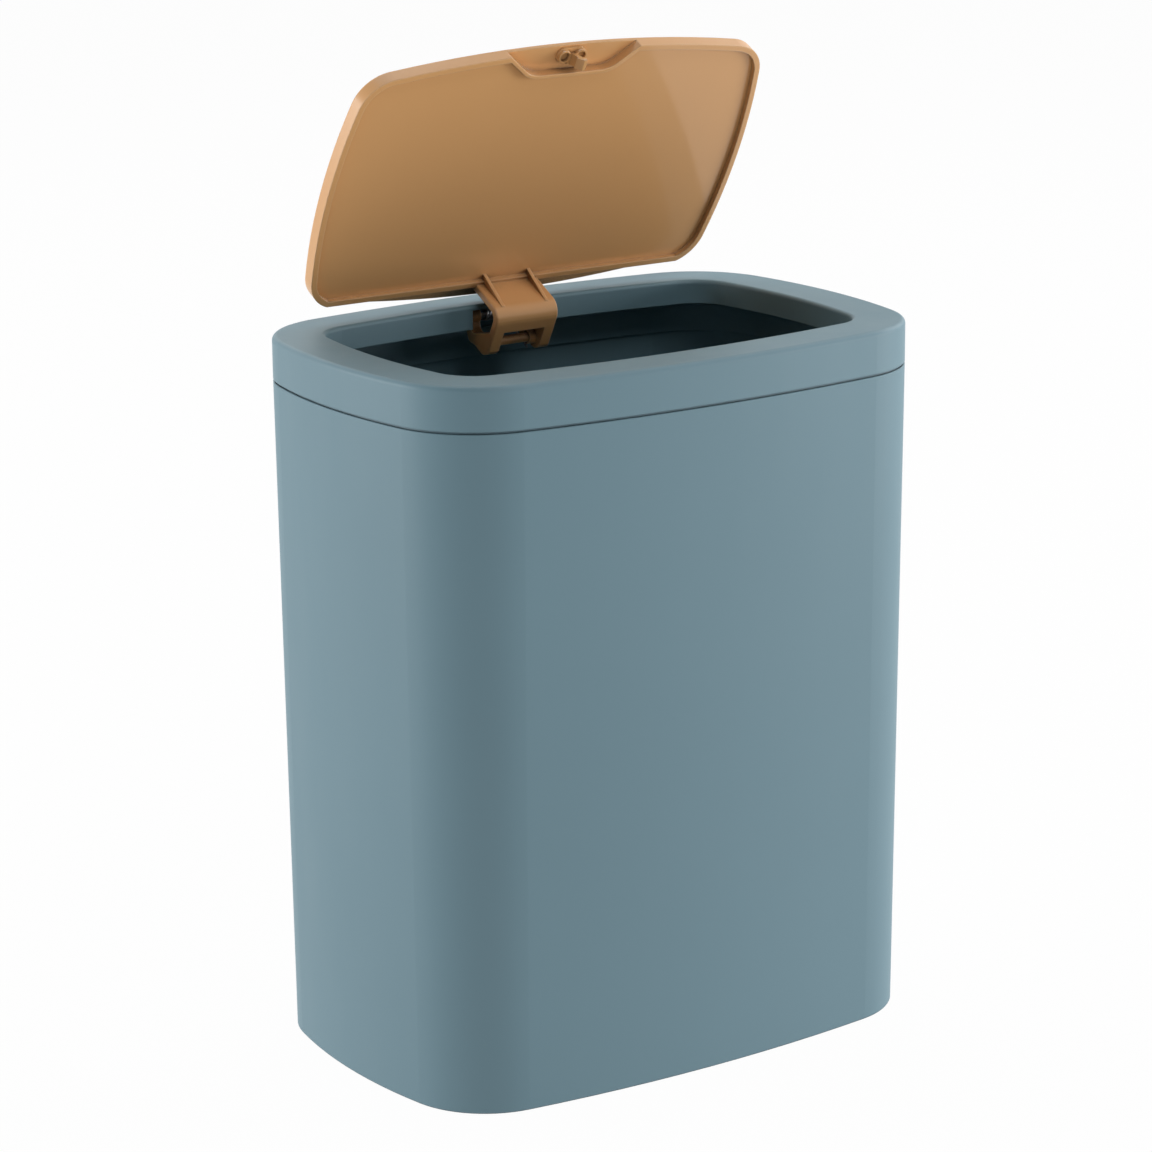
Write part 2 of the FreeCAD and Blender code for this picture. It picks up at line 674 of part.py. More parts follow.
def make_lid():
    body = new_body("lid")
    lid_outline = [item - size.lid_gap for item in mouth_outline]
    panel = new_sketch(body, "XY_Plane", panel_under)
    draw_barrel(panel, lid_outline)
    pad(body, panel, size.panel_thick)
    round_edges(body, size.panel_round, lambda spots: level(spots, size.bin_height))
    add_lip(body, lid_outline)
    add_pocket(body)
    add_arm(body)
    studs = new_sketch(body, "XY_Plane", skin_under)
    for x in (-size.stud_x, size.stud_x):
        draw_circle(studs, x, -latch_y, size.stud_radius + size.screw_play)
    cut(body, studs, size.stud_rise + size.screw_play, reverse=True)
    place_lid_piece(body)
    return body


def add_lip(body, lid_outline):
    """Edge wall along the front and sides, and a straight wall across the back."""
    rise = panel_under - lip_low + size.panel_thick * HALF_SHARE
    lip = new_sketch(body, "XY_Plane", lip_low)
    draw_barrel(lip, lid_outline)
    draw_barrel(lip, lid_outline, size.lip_wall)
    pad(body, lip, rise)
    rear = new_sketch(body, "XY_Plane", skin_under)
    far = mouth_half_depth
    draw_box(rear, -mouth_half_width, mouth_half_width, rear_lip_y, far)
    cut(body, rear, size.lip_depth)
    chord = new_sketch(body, "XY_Plane", lip_low)
    chord_front = rear_lip_y - size.lip_wall
    draw_box(chord, -rear_lip_half, rear_lip_half, chord_front, rear_lip_y)
    pad(body, chord, rise)


def add_pocket(body):
    """Clear room at the front edge, with a rib round it, where the striker stands."""
    rise = panel_under - lip_low
    rear = mouth_half_depth - size.pocket_depth
    front = mouth_half_depth - size.pocket_edge
    rib = new_sketch(body, "XY_Plane", lip_low)
    draw_pocket(rib, size.pocket_front_half, size.pocket_rear_half, rear, front)
    pad(body, rib, rise + size.panel_thick * HALF_SHARE)
    room = new_sketch(body, "XY_Plane", skin_under)
    flare = size.pocket_front_half - size.pocket_rear_half
    slope_share = number(flare) / number(front - rear)
    slant_share = math.hypot(1, slope_share)
    draw_pocket(
        room,
        size.pocket_front_half + size.pocket_edge * slope_share - size.rib_wall * slant_share,
        size.pocket_rear_half + size.rib_wall * (slope_share - slant_share),
        rear + size.rib_wall,
        mouth_half_depth,
    )
    cut(body, room, size.lip_depth)


def draw_pocket(sketch, front_half, rear_half, rear, front):
    corners = (
        (-front_half, -front),
        (front_half, -front),
        (rear_half, -rear, size.pocket_round),
        (-rear_half, -rear, size.pocket_round),
    )
    draw_outline(sketch, corners)


def add_arm(body):
    """Gooseneck: a plate down from the rear lip, a bend, two legs and their eyes."""
    arm_back = arm_front + size.arm_thick
    leg_top = arm_bottom + size.arm_thick
    leg_end = pivot_y + size.leg_end_back
    plate_top = panel_under + size.panel_thick * HALF_SHARE
    strip = new_sketch(body, "YZ_Plane")
    corners = (
        (arm_front, plate_top),
        (arm_front, arm_bottom, size.arm_bend),
        (leg_end, arm_bottom),
        (leg_end, leg_top),
        (arm_back, leg_top, size.arm_bend - size.arm_thick),
        (arm_back, plate_top),
    )
    draw_outline(strip, corners)
    pad(body, strip, size.arm_half * 2, both=True)
    web = new_sketch(body, "YZ_Plane")
    eye_front = pivot_y - size.eye_radius
    eye_back = pivot_y + size.eye_radius
    lug_rear = pivot_y + size.lug_back
    web_foot = pivot_y - size.web_foot_lead
    neck_y, neck_z = pivot_y + size.web_neck_back, pivot_z - size.web_neck_drop
    corners = (
        (web_foot, arm_bottom),
        (lug_rear, arm_bottom, size.lug_round),
        (lug_rear, pivot_z - size.lug_drop, size.lug_round),
        (pivot_y + size.web_back, pivot_z - size.web_back_drop, size.web_back_round),
        (eye_back, pivot_z),
        (eye_front, pivot_z),
        (neck_y, neck_z, size.web_neck_round),
        (web_foot, leg_top),
    )
    draw_outline(web, corners)
    pad(body, web, size.arm_half * 2, both=True)
    eye = new_sketch(body, "YZ_Plane")
    draw_circle(eye, pivot_y, pivot_z, size.eye_radius)
    pad(body, eye, (size.arm_half + size.hub_reach) * 2, both=True)
    window = new_sketch(body, "XY_Plane", skin_under)
    window_front = arm_front + size.window_start
    draw_box(window, -leg_inner, leg_inner, window_front, size.half_depth)
    cut(body, window, skin_under - arm_bottom + size.overrun)
    round_edges(body, size.arm_round, at_arm_edge)
    bar = new_sketch(body, "YZ_Plane")
    draw_circle(bar, bar_y, bar_z, size.bar_radius)
    pad(body, bar, size.arm_half * 2 - size.leg_width, both=True)
    knob = new_sketch(body, "YZ_Plane", leg_inner - size.bar_knob_length)
    draw_circle(knob, bar_y, bar_z, size.bar_knob_radius)
    pad(body, knob, size.bar_knob_length + size.leg_width * HALF_SHARE)
    bore = new_sketch(body, "YZ_Plane")
    draw_circle(bore, pivot_y, pivot_z, pin_hole)
    cut(body, bore, (size.arm_half + size.hub_reach + size.overrun) * 2, both=True)
    half_gusset = size.gusset_thick * HALF_SHARE
    gusset_tip = pivot_z - size.gusset_drop
    for side, away in ((1, size.gusset_x - half_gusset), (-1, half_gusset - size.gusset_x)):
        gusset = new_sketch(body, "YZ_Plane", away)
        root = arm_front + size.gusset_root
        corners = (
            (root, plate_top),
            (arm_front - size.gusset_foot, plate_top),
            (arm_front, gusset_tip),
            (root, gusset_tip),
        )
        draw_outline(gusset, corners)
        pad(body, gusset, size.gusset_thick, reverse=side < 0)


def at_arm_edge(spots):
    """The two long outer edges of the arm, down its front and round the bend."""
    beside = all(abs(abs(spot.x) - number(size.arm_half)) < NEAR for spot in spots)
    bend_back = number(arm_front + size.arm_bend) + NEAR
    outer = all(spot.y < bend_back and spot.z < number(lip_low) + NEAR for spot in spots)
    front = number(arm_front) + NEAR
    low = number(arm_bottom) + NEAR
    ends = spots[0], spots[1]
    return beside and outer and all(spot.y < front or spot.z < low for spot in ends)


def make_striker():
    """Catch piece under the lid: foot, two cups, a leaning neck and a pointed head."""
    body = new_body("striker")
    foot_low = skin_under - size.striker_foot
    root = foot_low + size.striker_foot * HALF_SHARE
    half_depth = size.striker_depth * HALF_SHARE
    foot = new_sketch(body, "XY_Plane", foot_low)
    low, high = -latch_y - half_depth, -latch_y + half_depth
    corners = (
        (-size.striker_half, low, size.striker_round),
        (size.striker_half, low, size.striker_round),
        (size.striker_half, high, size.striker_round),
        (-size.striker_half, high, size.striker_round),
    )
    draw_outline(foot, corners)
    pad(body, foot, size.striker_foot)
    cups = new_sketch(body, "XY_Plane", root)
    for x in (-size.stud_x, size.stud_x):
        draw_circle(cups, x, -latch_y, size.cup_radius)
        draw_circle(cups, x, -latch_y, size.cup_radius - size.cup_wall)
    pad(body, cups, root - foot_low + size.cup_rise, reverse=True)
    add_catch(body, foot_low, root)
    studs = new_sketch(body, "XY_Plane", skin_under)
    for x in (-size.stud_x, size.stud_x):
        draw_circle(studs, x, -latch_y, size.stud_radius)
    pad(body, studs, size.stud_rise)
    place_lid_piece(body)
    return body


def add_catch(body, foot_low, root):
    """Neck and head: a leaning blade from the side, then cut narrower beside the neck."""
    tip = head_top - size.head_length
    half_depth = size.neck_depth * HALF_SHARE
    half_lean = size.head_lean * HALF_SHARE
    blade = new_sketch(body, "YZ_Plane")
    corners = (
        (-latch_y - half_depth + half_lean, root),
        (-latch_y - half_depth - half_lean, tip),
        (-latch_y + half_depth - half_lean, tip),
        (-latch_y + half_depth + half_lean, root),
    )
    draw_outline(blade, corners)
    pad(body, blade, size.head_half * 2, both=True)
    sides = new_sketch(body, "XZ_Plane", latch_y)
    neck_top = foot_low - size.cup_rise
    for side in (-1, 1):
        far = (size.head_half + size.overrun) * side
        corners = (
            (size.neck_half * side, neck_top),
            (size.neck_half * side, head_top),
            (size.head_half * side, head_top),
            (size.tip_half * side, tip),
            (size.tip_half * side, tip - size.overrun),
            (far, tip - size.overrun),
            (far, neck_top),
        )
        draw_outline(sides, corners)
    cut(body, sides, size.striker_depth * 2, both=True)


# Hinge hardware

def make_pin():
    body = new_body("hinge_pin")
    head = new_sketch(body, "YZ_Plane", -ear_outer)
    draw_circle(head, pivot_y, pivot_z, size.pin_head_radius)
    pad(body, head, size.pin_head_thick, reverse=True)
    shank = new_sketch(body, "YZ_Plane", -ear_outer)
    draw_circle(shank, pivot_y, pivot_z, size.pin_radius)
    pad(body, shank, ear_outer * 2 + size.pin_head_thick + size.pin_end)
    return body


def make_clip():
    body = new_body("pin_clip")
    ring = new_sketch(body, "YZ_Plane", ear_outer)
    draw_circle(ring, pivot_y, pivot_z, size.pin_head_radius)
    draw_circle(ring, pivot_y, pivot_z, size.pin_radius + size.screw_play)
    pad(body, ring, size.pin_head_thick)
    return body


# Latch, drawn released

def make_housing():
    body = new_body("latch_housing")
    outer = new_sketch(body, "XY_Plane", box_bottom)
    wide = size.box_half + size.box_wall
    back, front = -(box_back - size.box_wall), -(box_front + size.box_wall)
    draw_box(outer, -wide, wide, front, back)
    pad(body, outer, throat_low - box_bottom)
    tabs = new_sketch(body, "XY_Plane", throat_low)
    draw_box(tabs, -size.tab_half, size.tab_half, -box_front, -box_back)
    pad(body, tabs, size.tab_thick, reverse=True)
    feet = new_sketch(body, "XY_Plane", box_bottom)
    draw_box(feet, -size.foot_tab_half, size.foot_tab_half, -box_front, -box_back)
    pad(body, feet, size.foot_tab_thick)
    room = new_sketch(body, "XY_Plane", throat_low)
    draw_box(room, -size.box_half, size.box_half, -box_front, -box_back)
    cut(body, room, throat_low - box_bottom + size.overrun)
    screws = new_sketch(body, "XY_Plane", throat_low)
    feet_holes = new_sketch(body, "XY_Plane", box_bottom)
    for side in (-1, 1):
        hole = size.screw_radius + size.screw_play
        draw_circle(screws, size.boss_x * side, -latch_y, hole)
        draw_circle(feet_holes, size.foot_screw_x * side, -latch_y, hole)
    cut(body, screws, size.tab_thick + size.overrun)
    cut(body, feet_holes, size.foot_bite + size.screw_play, reverse=True)
    slot = new_sketch(body, "XZ_Plane", box_back)
    low = lever_top - size.lever_slot_rise
    high = lever_top + size.lever_slot_rise
    draw_box(slot, -size.lever_slot_half, size.lever_slot_half, low, high)
    cut(body, slot, size.box_wall + size.overrun)
    rivet = new_sketch(body, "XZ_Plane", box_back)
    draw_circle(rivet, 0, lever_z, size.rivet_radius + size.screw_play)
    cut(body, rivet, size.box_wall + size.overrun)
    return body


def make_cover():
    body = new_body("latch_cover")
    plate = new_sketch(body, "XY_Plane", box_bottom)
    draw_box(plate, -size.foot_tab_half, size.foot_tab_half, -box_front, -box_back)
    for side in (-1, 1):
        hole = size.screw_radius + size.screw_play
        draw_circle(plate, size.foot_screw_x * side, -latch_y, hole)
    pad(body, plate, size.cover_thick, reverse=True)
    return body


def make_plunger():
    body = new_body("latch_plunger")
    block = new_sketch(body, "XY_Plane", plunger_bottom)
    wide = size.box_half - size.slide_play
    back, front = -(box_back + size.slide_play), -(box_front - size.slide_play)
    draw_box(block, -wide, wide, front, back)
    pad(body, block, plunger_top - plunger_bottom)
    peg = new_sketch(body, "XY_Plane", plunger_bottom)
    draw_circle(peg, 0, -latch_y, size.peg_radius)
    pad(body, peg, size.peg_drop, reverse=True)
    slots = new_sketch(body, "XY_Plane", plunger_top)
    slot_half = size.jaw_half + size.slide_play
    low, high = -latch_y - slot_half, -latch_y + slot_half
    far = size.box_half + size.overrun
    draw_box(slots, size.spine_half, far, low, high)
    draw_box(slots, -far, -size.spine_half, low, high)
    cut(body, slots, size.jaw_slot)
    pins = new_sketch(body, "XZ_Plane", box_back)
    for x in (-size.jaw_x, size.jaw_x):
        draw_circle(pins, x, jaw_z, size.jaw_pin_radius + size.screw_play)
    cut(body, pins, size.box_depth, reverse=True)
    track = new_sketch(body, "XZ_Plane", box_back + size.slide_play)
    draw_box(track, -size.track_half, size.track_half, track_low, track_high)
    cut(body, track, size.track_depth, reverse=True)
    return body


def make_jaw(side, label):
    """Lever with a hook at its top, drawn upright and then turned open on its pin."""
    body = new_body(label)
    upright = new_sketch(body, "XZ_Plane", latch_y - size.jaw_half)
    hook_high = hook_low + size.hook_thick
    corners = (
        (size.jaw_inner * side, jaw_z),
        (size.jaw_outer * side, jaw_z),
        (size.jaw_outer * side, hook_high),
        (size.hook_inner * side, hook_high),
        (size.hook_inner * side, hook_low),
        (size.jaw_inner * side, hook_low),
    )
    draw_outline(upright, corners if side > 0 else corners[::-1])
    pad(body, upright, size.jaw_half * 2)
    base = new_sketch(body, "XZ_Plane", latch_y - size.jaw_half)
    draw_circle(base, size.jaw_x * side, jaw_z, size.jaw_base)
    pad(body, base, size.jaw_half * 2)
    bore = new_sketch(body, "XZ_Plane", latch_y - size.jaw_half)
    draw_circle(bore, size.jaw_x * side, jaw_z, size.jaw_pin_radius + size.pin_play)
    cut(body, bore, size.jaw_half * 2, reverse=True)
    turn_about(body, (0, 1, 0), size.jaw_spread * side, (size.jaw_x * side, 0, jaw_z))
    return body


def make_jaw_pin(side, label):
    body = new_body(label)
    start = new_sketch(body, "XZ_Plane", box_back + size.slide_play)
    draw_circle(start, size.jaw_x * side, jaw_z, size.jaw_pin_radius)
    pad(body, start, size.box_depth - size.slide_play * 2)
    return body


def make_follower():
    """Small lever behind the housing, whose pin reaches into the plunger's track."""
    body = new_body("cam_follower")
    face = box_back - size.box_wall - size.lever_gap
    plate = new_sketch(body, "XZ_Plane", face)
    low, high = lever_z - size.lever_half, lever_top + size.lever_half
    corners = (
        (-size.lever_half, low, size.rivet_radius),
        (size.lever_half, low, size.rivet_radius),
        (size.lever_half, high, size.rivet_radius),
        (-size.lever_half, high, size.rivet_radius),
    )
    draw_outline(plate, corners)
    pad(body, plate, size.lever_thick, reverse=True)
    pin = new_sketch(body, "XZ_Plane", face)
    draw_circle(pin, 0, lever_top, size.lever_pin_radius)
    reach = size.lever_gap + size.box_wall + size.slide_play
    pad(body, pin, reach + size.track_depth * HALF_SHARE)
    bore = new_sketch(body, "XZ_Plane", face)
    draw_circle(bore, 0, lever_z, size.rivet_radius + size.pin_play)
    cut(body, bore, size.lever_thick + size.overrun)
    return body


def make_rivet():
    body = new_body("follower_pivot")
    outer = box_back - size.box_wall - size.lever_gap - size.lever_thick - size.lever_gap
    shank = new_sketch(body, "XZ_Plane", outer)
    draw_circle(shank, 0, lever_z, size.rivet_radius)
    pad(body, shank, box_back - outer)
    head = new_sketch(body, "XZ_Plane", outer)
    draw_circle(head, 0, lever_z, size.rivet_head)
    pad(body, head, size.rivet_head_thick, reverse=True)
    return body


# Screws, two to a node

def make_screws(label, half_gap, head_face, length):
    """A pair of pan-head screws that point up, their heads against the face above."""
    one = new_body(f"{label}_one")
    shank = new_sketch(one, "XY_Plane", head_face)
    draw_circle(shank, half_gap, -latch_y, size.screw_radius)
    pad(one, shank, length)
    head = new_sketch(one, "XY_Plane", head_face)
    draw_circle(head, half_gap, -latch_y, size.screw_head)
    pad(one, head, size.screw_head_thick, reverse=True)
    drive = new_sketch(one, "XY_Plane", head_face - size.screw_head_thick)
    draw_circle(drive, half_gap, -latch_y, size.screw_drive)
    cut(one, drive, size.screw_drive_depth, reverse=True)
    mirrored = doc.addObject("Part::Mirroring", f"{label}_other")
    mirrored.Source = one
    mirrored.Normal = Vector(1, 0, 0)
    pair = doc.addObject("Part::Compound", label)
    pair.Label = label
    pair.Links = [one, mirrored]
    doc.recompute()
    return pair


# Springs

def arc_through(start, corner, end):
    """The arc that leaves start and reaches end along the two sides of a corner."""
    chord_mid = (start + end) * HALF_SHARE
    half_chord = (end - start).Length * HALF_SHARE
    slope = math.acos(min(1.0, half_chord / (corner - start).Length))
    share = math.tan(slope * HALF_SHARE) / math.tan(slope)
    return Part.Arc(start, chord_mid + (corner - chord_mid) * share, end).toShape()


def biarc(start, start_way, end, end_way):
    """Two arcs that join two points along two directions."""
    step = end - start
    ways = start_way + end_way
    spread = 2 * (1 - start_way.dot(end_way))
    along = step.dot(ways)
    reach = (math.sqrt(along**2 + spread * step.dot(step)) - along) / spread
    first = start + start_way * reach
    second = end - end_way * reach
    joint = (first + second) * HALF_SHARE
    return [arc_through(start, first, joint), arc_through(joint, second, end)]


def coil_edges(spot, way, turns):
    """Quarter turns of a coil as biarcs. Spot and way give place and direction by turn."""
    count = round(turns * ARCS_PER_TURN)
    marks = [turns * i / count for i in range(count + 1)]
    edges = []
    for low, high in zip(marks, marks[1:]):
        edges += biarc(spot(low), way(low), spot(high), way(high))
    return edges


def tube(label, edges, wire, turns):
    """One round wire along the edges, with its least gap to itself measured."""
    path = Part.Wire(edges)
    first = edges[0]
    way = first.tangentAt(first.FirstParameter)
    ring = Part.Wire(Part.makeCircle(wire * HALF_SHARE, first.valueAt(first.FirstParameter), way))
    shell = Part.BRepOffsetAPI.MakePipeShell(path)
    shell.add(ring)
    shell.build()
    shell.makeSolid()
    spring = doc.addObject("Part::Feature", label)
    spring.Label = label
    spring.Shape = shell.shape()
    points = path.discretize(int(GAP_POINTS_PER_TURN * (turns + 1)))
    apart = int(GAP_POINTS_PER_TURN * APART_SHARE)
    pairs = ((p, q) for i, p in enumerate(points) for q in points[i + apart :])
    gap = min(p.distanceToPoint(q) for p, q in pairs) - wire
    print(f"{label}: least gap between turns {gap:.2f} mm")
    if gap < LEAST_TURN_GAP:
        raise ValueError(f"{label} touches itself")
    return spring


def make_lid_spring():
    """Torsion spring on the pin: one leg under the collar's stop, one behind the bar."""
    radius, pitch = number(size.coil_radius), number(size.coil_pitch)
    start = -QUARTER_TURN
    pivot = Vector(0, number(pivot_y), number(pivot_z))
    bar = Vector(0, number(bar_y), number(bar_z)) - pivot
    opened = Rotation(Vector(1, 0, 0), -number(size.open_angle)).multVec(bar)
    leg_way = math.atan2(opened.z, opened.y)
    leave = leg_way + QUARTER_TURN
    part_turn = ((start - leave) / FULL_TURN) % 1
    turns = COIL_TURNS + part_turn

    def angle(turn):
        return start - turn * FULL_TURN

    def spot(turn):
        x = number(size.coil_start) + pitch * turn
        return pivot + Vector(x, radius * math.cos(angle(turn)), radius * math.sin(angle(turn)))

    def way(turn):
        round_way = Vector(0, math.sin(angle(turn)), -math.cos(angle(turn)))
        return (round_way * (radius * FULL_TURN) + Vector(pitch, 0, 0)).normalize()

    first = Part.LineSegment(spot(0) - way(0) * number(size.coil_still_leg), spot(0)).toShape()
    last = Part.LineSegment(spot(turns), spot(turns) + way(turns) * number(size.coil_arm_leg))
    edges = [first] + coil_edges(spot, way, turns) + [last.toShape()]
    return tube("lid_spring", edges, number(size.coil_wire), turns)


def make_plunger_spring():
    """Compression spring between the latch cover and the plunger."""
    radius, wire = number(size.spring_radius), number(size.spring_wire)
    low = number(box_bottom) + wire
    high = number(plunger_bottom) - wire
    pitch = (high - low) / SPRING_TURNS

    def spot(turn):
        angle = turn * FULL_TURN
        flat = Vector(radius * math.cos(angle), radius * math.sin(angle), low + pitch * turn)
        return flat - Vector(0, number(latch_y), 0)

    def way(turn):
        angle = turn * FULL_TURN
        round_way = Vector(-math.sin(angle), math.cos(angle), 0)
        return (round_way * (radius * FULL_TURN) + Vector(0, 0, pitch)).normalize()

    first = Part.LineSegment(spot(0) - way(0) * wire, spot(0)).toShape()
    end = SPRING_TURNS
    last = Part.LineSegment(spot(end), spot(end) + way(end) * wire).toShape()
    edges = [first] + coil_edges(spot, way, SPRING_TURNS) + [last]
    return tube("plunger_spring", edges, wire, SPRING_TURNS)


def make_all():
    tab_low = throat_low - size.tab_thick
    tab_screw = size.tab_thick + size.screw_bite
    cover_low = box_bottom - size.cover_thick
    cover_screw = size.cover_thick + size.foot_bite
    return [
        make_tub(),
        make_collar(),
        make_lid(),
        make_striker(),
        make_pin(),
        make_clip(),
        make_lid_spring(),
        make_housing(),
        make_cover(),
        make_plunger(),
        make_jaw(-1, "jaw_left"),
        make_jaw(1, "jaw_right"),
        make_jaw_pin(-1, "jaw_pin_left"),
        make_jaw_pin(1, "jaw_pin_right"),
        make_plunger_spring(),
        make_follower(),
        make_rivet(),
        make_screws("latch_screws", size.boss_x, tab_low, tab_screw),
        make_screws("cover_screws", size.foot_screw_x, cover_low, cover_screw),
    ]


def check(pieces):
    """Stop before writing if any object failed or any shape is broken."""
    for thing in doc.Objects:
        if "Invalid" in thing.State or "Error" in thing.State:
            raise ValueError(f"{thing.Label} failed: {thing.State}")
    for piece in pieces:
        if piece.Shape.isNull() or not piece.Shape.isValid():
            raise ValueError(f"{piece.Label} has no valid shape")


pieces = make_all()
doc.recompute()
check(pieces)
os.makedirs("parts", exist_ok=True)
for piece in pieces:
    piece.Shape.exportStep(f"parts/{piece.Label}.step")
    box = piece.Shape.BoundBox
    print(f"{piece.Label}: {len(piece.Shape.Solids)} solids, {piece.Shape.Volume:.0f} mm3, {box}")
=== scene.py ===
import json

import bpy
from mathutils import Matrix, Vector

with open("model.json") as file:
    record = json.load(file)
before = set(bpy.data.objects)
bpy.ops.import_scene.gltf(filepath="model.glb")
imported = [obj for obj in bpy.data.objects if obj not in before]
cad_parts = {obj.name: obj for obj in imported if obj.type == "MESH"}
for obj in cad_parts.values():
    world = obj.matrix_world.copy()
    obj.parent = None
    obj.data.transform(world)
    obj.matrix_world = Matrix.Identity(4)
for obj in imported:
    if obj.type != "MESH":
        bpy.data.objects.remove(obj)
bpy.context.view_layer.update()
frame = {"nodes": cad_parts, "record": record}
scene = bpy.context.scene
scene.view_settings.view_transform = "Standard"

# Lengths, depths and reaches are in metres, noise in cells per metre, lamps in watts

CLOUD_CELLS = 9
FLOW_CELLS = 60
FLOW_STRETCH = (1, 1, 0.25)
GLOSS_SWING_SHARE = 0.12
GRAIN_STRENGTH = 0.35
WAVE_CELLS = 14
WAVE_STRENGTH = 0.5
PLASTIC_IOR = 1.48
TINT_SPREAD_SHARE = 0.04
SOFT_EDGE = 0.0004
RAYS = 6

# How dark painted shade leaves a plastic's colour, and how far in from an outer edge a painted
# highlight reaches
PAINTED_SHADE_SHARE = 0.2
HIGHLIGHT_EDGE_REACH = 0.0007
HIGHLIGHT_EDGE_START_SHARE = 0.9
HIGHLIGHT_EDGE_FULL_SHARE = 0.5

# How squarely a face has to look the polished way
POLISH_START_SHARE = 0.96
POLISH_FULL_SHARE = 0.985

STEEL_LINE_CELLS = 900
STEEL_CLOUD_CELLS = 120
STEEL_DULL_SHARE = 0.86
STEEL_SWING_SHARE = 0.3
STEEL_LINE_STRENGTH = 0.2
STEEL_LINE_DEPTH = 0.00004

PAPER_REACH = 6
PAPER_GREY = 0.85
PAPER_ROUGH = 0.9
PAPER_SEEN_SHARE = 0.975
PAPER_GLOW_SHARE = 0.71

LAMP_AIM = (0, 0, 0.2)
# Name, place, width, height and power of each soft box
LAMPS = (
    ("left_box", (-2.0, 1.2, 0.5), 1.5, 1.2, 33),
    ("right_box", (2.1, -1.3, 0.34), 1.5, 0.7, 28),
    ("top_box", (0.1, 0.9, 2.2), 1.6, 1.2, 12),
    ("front_box", (0.2, -1.6, 2.2), 1.6, 1.2, 16),
    ("high_box", (2.2, 0.2, 1.6), 1.5, 1.2, 25),
    ("back_box", (0.2, 2.2, 1.5), 1.6, 1.2, 7),
)

SENSOR_MM = 36
LENS_MM = 121.099
FAR_CLIP = 50
CAMERA_SPOT = (-0.8806, -1.2965, 0.6158)
CAMERA_RIGHT = Vector((0.82845, -0.55999, -0.00832))
CAMERA_UP = Vector((0.15255, 0.21133, 0.96543))


# Colours are written as they look on a screen, from 0 to 255

def linear(value):
    share = value / 255
    return share / 12.92 if share <= 0.04045 else ((share + 0.055) / 1.055) ** 2.4


def colour(red, green, blue):
    return (linear(red), linear(green), linear(blue), 1)


def shade(tone, share):
    """A colour made darker or lighter by a share."""
    return tuple(c * share for c in tone[:3]) + (1,)


# Materials

class Nodes:
    """A new material's node tree, with short calls to add and join nodes."""

    def __init__(self, name):
        self.material = bpy.data.materials.new(name)
        self.material.use_nodes = True
        self.tree = self.material.node_tree
        self.shader = self.tree.nodes["Principled BSDF"]

    def add(self, kind, **settings):
        node = self.tree.nodes.new(kind)
        for key, value in settings.items():
            if key in node.inputs:
                node.inputs[key].default_value = value
            else:
                setattr(node, key, value)
        return node

    def join(self, out, into):
        self.tree.links.new(out, into)

    def place(self, stretch=(1, 1, 1)):
        """Object coordinates in metres, stretched along the axes."""
        coords = self.add("ShaderNodeTexCoord")
        mapping = self.add("ShaderNodeMapping", Scale=stretch)
        self.join(coords.outputs["Object"], mapping.inputs["Vector"])
        return mapping.outputs["Vector"]

    def noise(self, place, cells, detail):
        node = self.add("ShaderNodeTexNoise", Scale=cells, Detail=detail)
        self.join(place, node.inputs["Vector"])
        return node.outputs["Fac"]

    def remap(self, value, low, high):
        """A value from 0 to 1 spread between two others."""
        node = self.add("ShaderNodeMapRange")
        node.inputs["To Min"].default_value = low
        node.inputs["To Max"].default_value = high
        self.join(value, node.inputs["Value"])
        return node.outputs["Result"]

    def step(self, value, start, full):
        """Zero up to one value, one from another, and a ramp between them."""
        node = self.add("ShaderNodeMapRange")
        node.inputs["From Min"].default_value = start
        node.inputs["From Max"].default_value = full
        self.join(value, node.inputs["Value"])
        return node.outputs["Result"]

    def swing(self, value, middle, share):
        """A value from 0 to 1 spread to either side of a middle one by a share of it."""
        return self.remap(value, middle * (1 - share), middle * (1 + share))

    def blend(self, value, first, second):
        """A colour between two, each given as a colour or as another node's output."""
        node = self.add("ShaderNodeMix", data_type="RGBA")
        for name, tone in (("A", first), ("B", second)):
            if isinstance(tone, tuple):
                node.inputs[name].default_value = tone
            else:
                self.join(tone, node.inputs[name])
        self.join(value, node.inputs["Factor"])
        return [out for out in node.outputs if out.type == "RGBA"][0]

    def soft_edges(self, radius):
        """Normals that turn smoothly over sharp edges, as moulded edges do."""
        return self.add("ShaderNodeBevel", samples=RAYS, Radius=radius).outputs["Normal"]

    def hollow(self, reach, start, full, inside=False):
        """One deep in a crease or corner, or with inside on an outer edge, else zero; the mask
        for painted shade and painted highlights.
        """
        kind = "ShaderNodeAmbientOcclusion"
        node = self.add(kind, samples=RAYS, inside=inside, Distance=reach)
        return self.step(node.outputs["AO"], start, full)

    def facing(self, way, start, full):
        """One where the surface faces a way in the piece's own frame, else zero."""
        coords = self.add("ShaderNodeTexCoord")
        dot = self.add("ShaderNodeVectorMath", operation="DOT_PRODUCT")
        dot.inputs[1].default_value = way
        self.join(coords.outputs["Normal"], dot.inputs[0])
        return self.step(dot.outputs["Value"], start, full)

    def bump(self, value, strength, depth, under=None):
        node = self.add("ShaderNodeBump", Strength=strength, Distance=depth)
        self.join(value, node.inputs["Height"])
        if under:
            self.join(under, node.inputs["Normal"])
        return node.outputs["Normal"]


